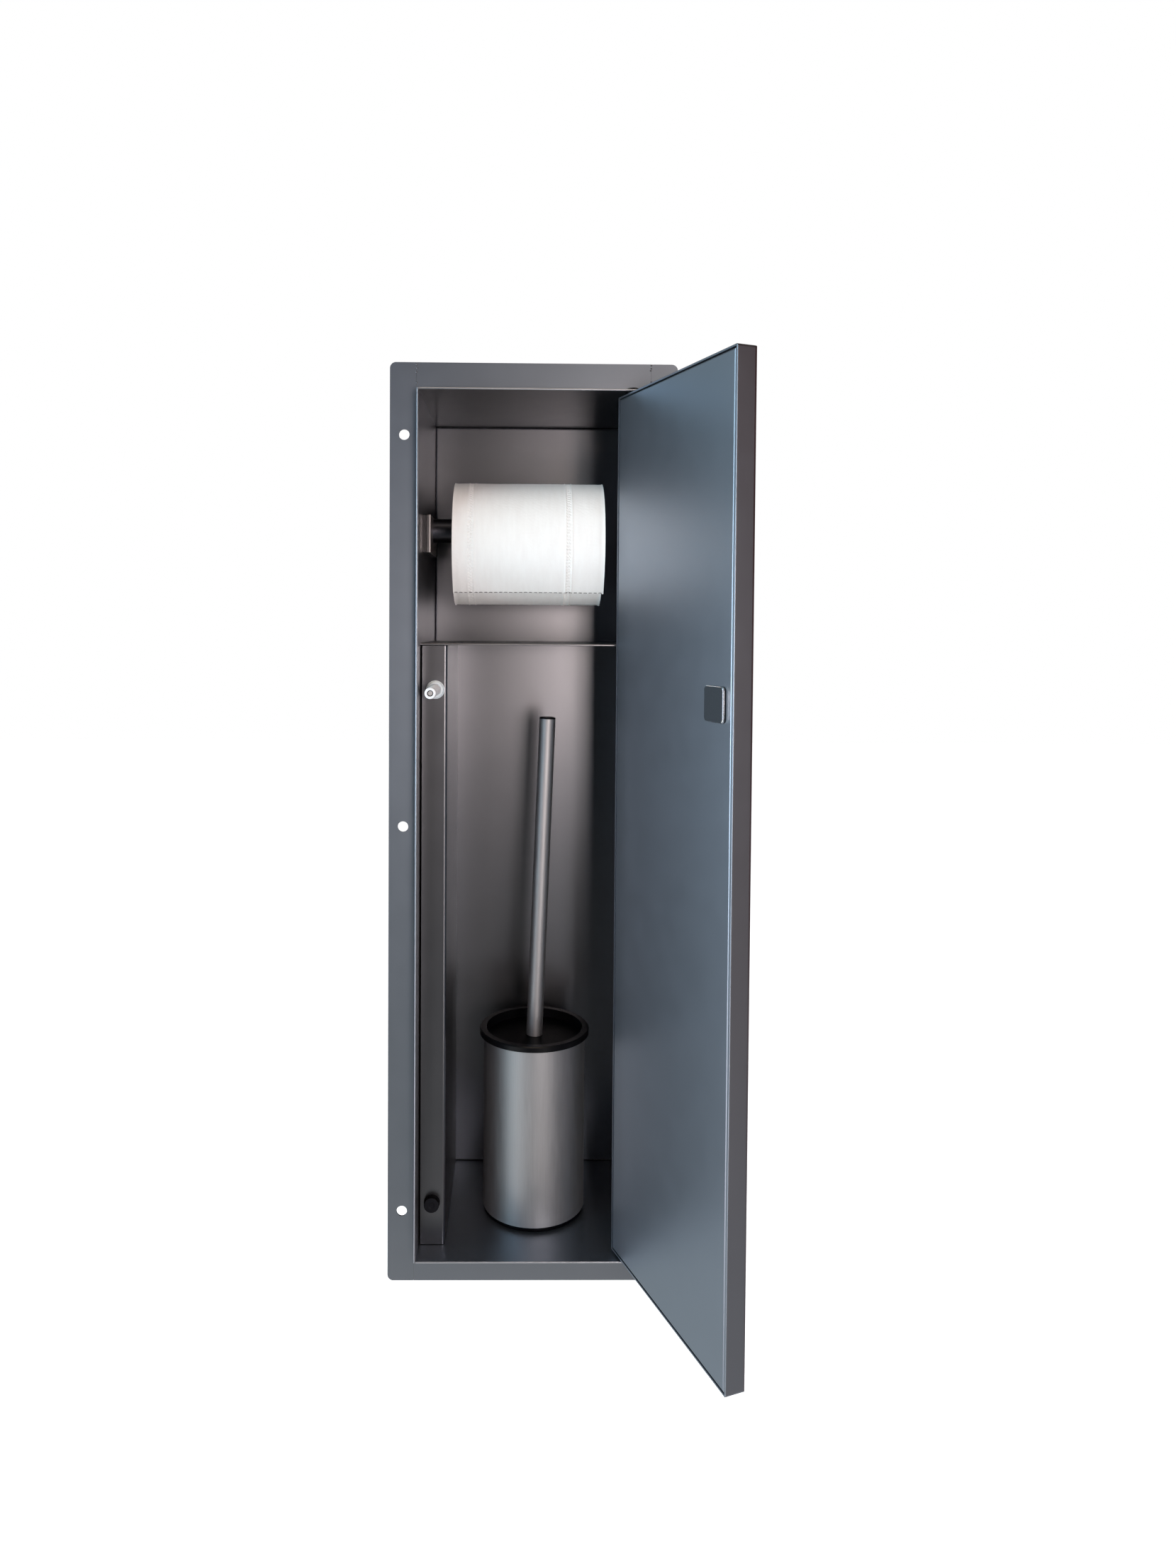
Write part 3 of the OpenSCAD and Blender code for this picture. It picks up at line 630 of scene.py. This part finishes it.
def build_bumper():
    height = STRIP_FRONT - low("door_bumper").y
    outer = (high("door_bumper").z - low("door_bumper").z) / 2
    profile = rounded([
        (0, height - 0.5 * MM, 0), (1.6 * MM, height - 0.5 * MM, 0.3 * MM), (2.2 * MM, height, 0.4 * MM),
        (outer - 0.35 * MM, height, 0.6 * MM), (outer - 0.2 * MM, 1.2 * MM, 0.2 * MM),
        (outer, 0.9 * MM, 0.25 * MM), (outer, 0, 0),
    ])
    place = facing_front(Vector((BUMPER_AXIS.x, STRIP_FRONT, BUMPER_AXIS.z)))
    bumper = add_object("rubber_bumper", lathe_mesh("rubber_bumper", profile, place), "casing", BLACK_RUBBER)
    # Faces towards the front take the lighter bluish rubber: painted light where the lamps fall
    bumper.data.materials.append(RUBBER_LIT_FACE)
    for face in bumper.data.polygons:
        face.material_index = int(face.normal.y < -0.5)
    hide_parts("door_bumper")


def door_frame():
    """Maps the closed door's own directions to where it stands open at rest."""
    turn = Matrix.Rotation(DOOR_OPEN, 4, "Z")
    return Matrix.Translation(HINGE) @ turn @ Matrix.Translation(-HINGE)


def plate_outline(half, radius, steps=8):
    points = []
    for quarter in range(4):
        sx = (1, -1, -1, 1)[quarter]
        sz = (1, 1, -1, -1)[quarter]
        centre = Vector((sx * (half - radius), sz * (half - radius)))
        for k in range(steps + 1):
            angle = math.radians(90 * quarter + 90 * k / steps)
            points.append(centre + radius * Vector((math.cos(angle), math.sin(angle))))
    return points


def build_strike():
    """A bevelled plate whose polished edge shows as a bright line, on a thin dark pad."""
    half = (high("strike_plate").z - low("strike_plate").z) / 2
    centre_z = middle("strike_plate").z
    door_back = -0.2 * MM
    left_edge = -65.2 * MM
    centre_x = left_edge + half
    corner = 2.5 * MM
    pad = 0.7 * MM
    thick = 1.9 * MM
    bevel = 0.32 * MM
    pad_half = half - 0.5 * MM
    layers = [
        (pad_half, 0), (pad_half, pad), (half, pad), (half, thick - bevel), (half - bevel, thick), (0, thick),
    ]
    mesh = bpy.data.meshes.new("strike_body")
    bm = bmesh.new()
    to_door = door_frame()
    rings = []
    for size, out in layers:
        if size == 0:
            rings.append([bm.verts.new(to_door @ Vector((centre_x, door_back + out, centre_z)))])
            continue
        ring = plate_outline(size, max(corner - (half - size), 0.8 * MM))
        rings.append([
            bm.verts.new(to_door @ Vector((centre_x + p.x, door_back + out, centre_z + p.y))) for p in ring
        ])
    faces = []
    for level, (lower, upper) in enumerate(zip(rings, rings[1:])):
        for k in range(len(lower)):
            j = (k + 1) % len(lower)
            if len(upper) == 1:
                face = bm.faces.new((lower[k], lower[j], upper[0]))
            else:
                face = bm.faces.new((lower[k], lower[j], upper[j], upper[k]))
            faces.append((face, level))
    bmesh.ops.recalc_face_normals(bm, faces=bm.faces)
    for face, level in faces:
        face.material_index = {0: 1, 1: 1, 2: 2, 3: 2, 4: 0}[level]
    bm.to_mesh(mesh)
    bm.free()
    plate = add_object("strike_body", mesh, "door", STRIKE, smooth_angle=25)
    mesh.materials.append(BLACK_RUBBER)
    mesh.materials.append(STRIKE_EDGE)
    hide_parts("strike_plate")


# Bristles under the lid

def build_bristles():
    lo = low("brush_head").z
    hi = high("brush_head").z
    radius = 26 * MM
    height = hi - lo
    origin = Vector((POT_AXIS.x, POT_AXIS.y, LID_TOP))
    place = leaning(origin)
    top = -38 * MM
    root = 4 * MM
    thick = 0.45 * MM
    core_r = 4.6 * MM
    rng = random.Random(3)
    mesh = bpy.data.meshes.new("bristle_head")
    bm = bmesh.new()
    tiers = 22
    count = 20
    for tier in range(tiers):
        t = (tier + 0.5) / tiers
        reach = radius * (0.62 + 0.38 * math.sin(math.pi * min(1, t * 1.1) ** 0.8))
        for k in range(count):
            angle = 2 * math.pi * (k + 0.5 * (tier % 2)) / count + rng.uniform(-0.08, 0.08)
            start_z = top - 4 * MM - (height - 8 * MM) * t
            droop = (0.5 - t) * 9 * MM + rng.uniform(-1, 1) * MM
            out = Vector((math.cos(angle), math.sin(angle), 0))
            side = Vector((-math.sin(angle), math.cos(angle), 0))
            base = out * root + Vector((0, 0, start_z))
            tip = out * (reach + rng.uniform(-1.2, 0) * MM) + Vector((0, 0, start_z + droop))
            tip.z = min(tip.z, top - 0.6 * MM)
            up = Vector((0, 0, thick))
            corners = [side * thick, -side * thick * 0.5 + up, -side * thick * 0.5 - up]
            first = [bm.verts.new(place @ (base + c)) for c in corners]
            last = [bm.verts.new(place @ (tip + c * 0.7)) for c in corners]
            for a in range(3):
                b = (a + 1) % 3
                bm.faces.new((first[a], first[b], last[b], last[a]))
            bm.faces.new(last)
    # The core that the strands stand in
    core_profile = [(0, top), (core_r, top), (core_r, top - height + 3 * MM), (0, top - height + 1 * MM)]
    core = lathe_mesh("bristle_core", core_profile, place, 24)
    bm.from_mesh(core)
    bmesh.ops.recalc_face_normals(bm, faces=bm.faces)
    bm.to_mesh(mesh)
    bm.free()
    head = add_object("bristle_head", mesh, "brush", BRISTLE)
    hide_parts("brush_head")


# Welds along the flange seams

def weld_spot(name, place, radius, height=0.25 * MM):
    profile = [(0, height), (radius * 0.55, height * 0.8), (radius, 0)]
    mesh = lathe_mesh(name, profile, facing_front(Vector(place)), 20)
    spot = add_object(name, mesh, "casing", WELD)


def build_welds():
    face = low("left_flange").y
    left = low("top_flange").x
    right = high("top_flange").x
    top = high("top_flange").z
    rows = {
        "left": [(left, 1.6), (left + 0.3 * MM, 3.7), (left - 0.2 * MM, 6.5), (left + 0.1 * MM, 13.3)],
        "right": [(right, 0.8), (right, 2.8), (right - 0.4 * MM, 4.2), (right, 11.5)],
    }
    for side, spots in rows.items():
        for k, (x, drop) in enumerate(spots):
            weld_spot(f"weld_{side}_{k}", (x, face, top - drop * MM), 0.55 * MM)


# Lights, floor and camera

CAMERA_PLACE = Vector((-4.38, -693.83, 135.31)) * MM
CAMERA_PITCH = 0.0268
CAMERA_YAW = 0.0127
CAMERA_ROLL = 0.0067
FOCAL_PIXELS = 1470.81
CENTRE_PIXEL = (760.36, 920.40)
PHOTO_SIZE = (1659, 2212)


def build_camera():
    data = bpy.data.cameras.new("camera")
    data.sensor_width = 36
    data.lens = FOCAL_PIXELS / PHOTO_SIZE[1] * data.sensor_width
    data.shift_x = (PHOTO_SIZE[0] / 2 - CENTRE_PIXEL[0]) / PHOTO_SIZE[1]
    data.shift_y = (CENTRE_PIXEL[1] - PHOTO_SIZE[1] / 2) / PHOTO_SIZE[1]
    data.clip_start = 0.01
    camera = bpy.data.objects.new("camera", data)
    ahead = Vector((
        math.sin(CAMERA_YAW) * math.cos(CAMERA_PITCH),
        math.cos(CAMERA_YAW) * math.cos(CAMERA_PITCH),
        -math.sin(CAMERA_PITCH),
    ))
    level = Vector((math.cos(CAMERA_YAW), -math.sin(CAMERA_YAW), 0))
    over = level.cross(ahead)
    right = level * math.cos(CAMERA_ROLL) + over * math.sin(CAMERA_ROLL)
    up = over * math.cos(CAMERA_ROLL) - level * math.sin(CAMERA_ROLL)
    turn = Matrix((right, up, -ahead)).transposed()
    camera.matrix_world = Matrix.Translation(CAMERA_PLACE) @ turn.to_4x4()
    bpy.context.scene.collection.objects.link(camera)
    bpy.context.scene.camera = camera


# Each softbox: degrees to the right of the front, distance, height, width, tall, watts, colour
SOFTBOXES = {
    "far_left_low": (-80, 1.21, -0.7, 0.60, 0.60, 3.74, (1.00, 0.74, 0.73)),
    "far_left": (-80, 1.4, 0, 0.60, 0.60, 11.8, (0.86, 0.89, 1.00)),
    "left_low": (-60, 1.21, -0.7, 0.60, 0.60, 0.94, (0.78, 0.90, 1.00)),
    "left": (-60, 1.4, 0, 0.60, 0.60, 2.79, (0.27, 0.92, 1.00)),
    "left_high": (-60, 1.21, 0.7, 0.60, 0.60, 4.86, (0.59, 0.90, 1.00)),
    "front_left_low": (-40, 1.21, -0.7, 0.60, 0.60, 1.72, (1.00, 0.93, 0.87)),
    "front_left": (-40, 1.4, 0, 0.60, 0.60, 1.47, (0.83, 0.83, 1.00)),
    "front_left_high": (-40, 1.21, 0.7, 0.60, 0.60, 1.07, (0.92, 0.75, 1.00)),
    "underneath": (0, 0.5, -1.1, 0.60, 0.60, 1.41, (1.00, 0.85, 0.75)),
    "overhead": (0, 0.5, 1.2, 0.60, 0.60, 4.36, (1.00, 0.83, 0.67)),
    "lamp_10_low": (10, 0.95, -0.1, 0.12, 0.22, 0.327, (1.00, 0.94, 0.93)),
    "lamp_10_middle": (10, 0.95, 0.1, 0.12, 0.22, 0.988, (1.00, 0.87, 0.80)),
    "lamp_10_high": (10, 0.95, 0.3, 0.12, 0.22, 0.105, (0.84, 0.99, 1.00)),
    "lamp_16_bottom": (16, 0.95, -0.35, 0.12, 0.22, 0.387, (0.99, 0.99, 1.00)),
    "lamp_16_middle": (16, 0.95, 0.1, 0.12, 0.22, 1.37, (1.00, 0.86, 0.83)),
    "lamp_16_high": (16, 0.95, 0.3, 0.12, 0.22, 0.507, (1.00, 0.78, 0.61)),
    "lamp_24_bottom": (24, 0.95, -0.35, 0.12, 0.22, 0.508, (1.00, 0.88, 0.81)),
    "lamp_24_middle": (24, 0.95, 0.1, 0.12, 0.22, 0.533, (0.96, 1.00, 0.91)),
    "lamp_24_high": (24, 0.95, 0.3, 0.12, 0.22, 0.713, (1.00, 0.89, 0.91)),
}


def build_lights():
    for name, (azimuth, far, height, width, tall, power, color) in SOFTBOXES.items():
        data = bpy.data.lights.new(name, "AREA")
        data.shape = "RECTANGLE"
        data.size, data.size_y = width, tall
        data.energy = power
        data.color = color
        light = bpy.data.objects.new(name, data)
        turn = math.radians(azimuth)
        light.location = Vector((far * math.sin(turn), -far * math.cos(turn), height))
        light.rotation_euler = (-light.location).to_track_quat("-Z", "Y").to_euler()
        light.visible_camera = False
        bpy.context.scene.collection.objects.link(light)


# Two soft fills that light only the paper: place, size, watts, colour
PAPER_FILLS = {
    "paper_above": ((0.12, -0.35, 0.80), 0.4, 0.32, (1.0, 0.97, 0.95)),
    "paper_below": ((0.12, -0.35, -0.40), 0.4, 0.32, (1.0, 0.97, 0.95)),
}


def build_paper_fills(roll):
    group = bpy.data.collections.new("lit_paper")
    group.objects.link(roll)
    for name, (place, size, power, color) in PAPER_FILLS.items():
        data = bpy.data.lights.new(name, "AREA")
        data.size = size
        data.energy = power
        data.color = color
        light = bpy.data.objects.new(name, data)
        light.location = place
        light.rotation_euler = (ROLL_AXIS - light.location).to_track_quat("-Z", "Y").to_euler()
        light.visible_camera = False
        light.light_linking.receiver_collection = group
        bpy.context.scene.collection.objects.link(light)


# The room's dim light from each side
ROOM_LIGHT = {
    ("X", -1): (0.2798, 0.4343, 0.4931),
    ("X", 1): (0.0865, 0.0028, 0.0000),
    ("Y", -1): (0.0000, 0.0000, 0.0000),
    ("Y", 1): (0.30, 0.25, 0.22),
    ("Z", -1): (0.9542, 0.9845, 0.9718),
    ("Z", 1): (0.0000, 0.0000, 0.0000),
}


def build_world():
    """A dim room whose light depends on the side, for fill and reflections; white behind the object."""
    world = bpy.data.worlds.new("studio")
    bpy.context.scene.world = world
    world.use_nodes = True
    nodes = world.node_tree.nodes
    links = world.node_tree.links
    direction = nodes.new("ShaderNodeTexCoord").outputs["Generated"]
    parts = nodes.new("ShaderNodeSeparateXYZ")
    links.new(direction, parts.inputs["Vector"])
    total = None
    for (axis, sign), color in ROOM_LIGHT.items():
        towards = nodes.new("ShaderNodeMath")
        towards.operation = "MULTIPLY"
        towards.use_clamp = True
        towards.inputs[1].default_value = sign
        links.new(parts.outputs[axis], towards.inputs[0])
        square = nodes.new("ShaderNodeMath")
        square.operation = "POWER"
        square.inputs[1].default_value = 2
        links.new(towards.outputs["Value"], square.inputs[0])
        lobe = nodes.new("ShaderNodeVectorMath")
        lobe.operation = "SCALE"
        lobe.inputs["Vector"].default_value = color
        links.new(square.outputs["Value"], lobe.inputs["Scale"])
        if total is None:
            total = lobe.outputs["Vector"]
            continue
        together = nodes.new("ShaderNodeVectorMath")
        together.operation = "ADD"
        links.new(total, together.inputs[0])
        links.new(lobe.outputs["Vector"], together.inputs[1])
        total = together.outputs["Vector"]
    room = nodes["Background"]
    room.inputs["Strength"].default_value = 1.0
    links.new(total, room.inputs["Color"])
    backdrop = nodes.new("ShaderNodeBackground")
    backdrop.inputs["Color"].default_value = (1, 1, 1, 1)
    backdrop.inputs["Strength"].default_value = 1.0
    path = nodes.new("ShaderNodeLightPath")
    mix = nodes.new("ShaderNodeMixShader")
    links.new(path.outputs["Is Camera Ray"], mix.inputs["Fac"])
    links.new(room.outputs["Background"], mix.inputs[1])
    links.new(backdrop.outputs["Background"], mix.inputs[2])
    links.new(mix.outputs["Shader"], nodes["World Output"].inputs["Surface"])


def build_floor():
    """A plain white floor well under the niche, lit evenly so that it meets the backdrop without a line."""
    mesh = bpy.data.meshes.new("floor")
    half = 6.0
    z = -0.62
    corners = [(-half, -half, z), (half, -half, z), (half, half, z), (-half, half, z)]
    mesh.from_pydata(corners, [], [(0, 1, 2, 3)])
    s = Shader("floor_white", (1, 1, 1), 0.9)
    s.bsdf.inputs["Emission Color"].default_value = (1, 1, 1, 1)
    s.bsdf.inputs["Emission Strength"].default_value = 1.0
    mesh.materials.append(s.material)
    floor = bpy.data.objects.new("floor", mesh)
    floor.visible_diffuse = False
    floor.visible_glossy = False
    bpy.context.scene.collection.objects.link(floor)


def main():
    build_camera()
    build_world()
    build_lights()
    build_floor()
    paint_nodes()
    build_paper_fills(build_roll())
    build_latch()
    build_bumper()
    build_strike()
    build_bristles()
    build_welds()
    bpy.context.scene.view_settings.view_transform = "Standard"
    bpy.context.scene.view_settings.look = "None"


main()
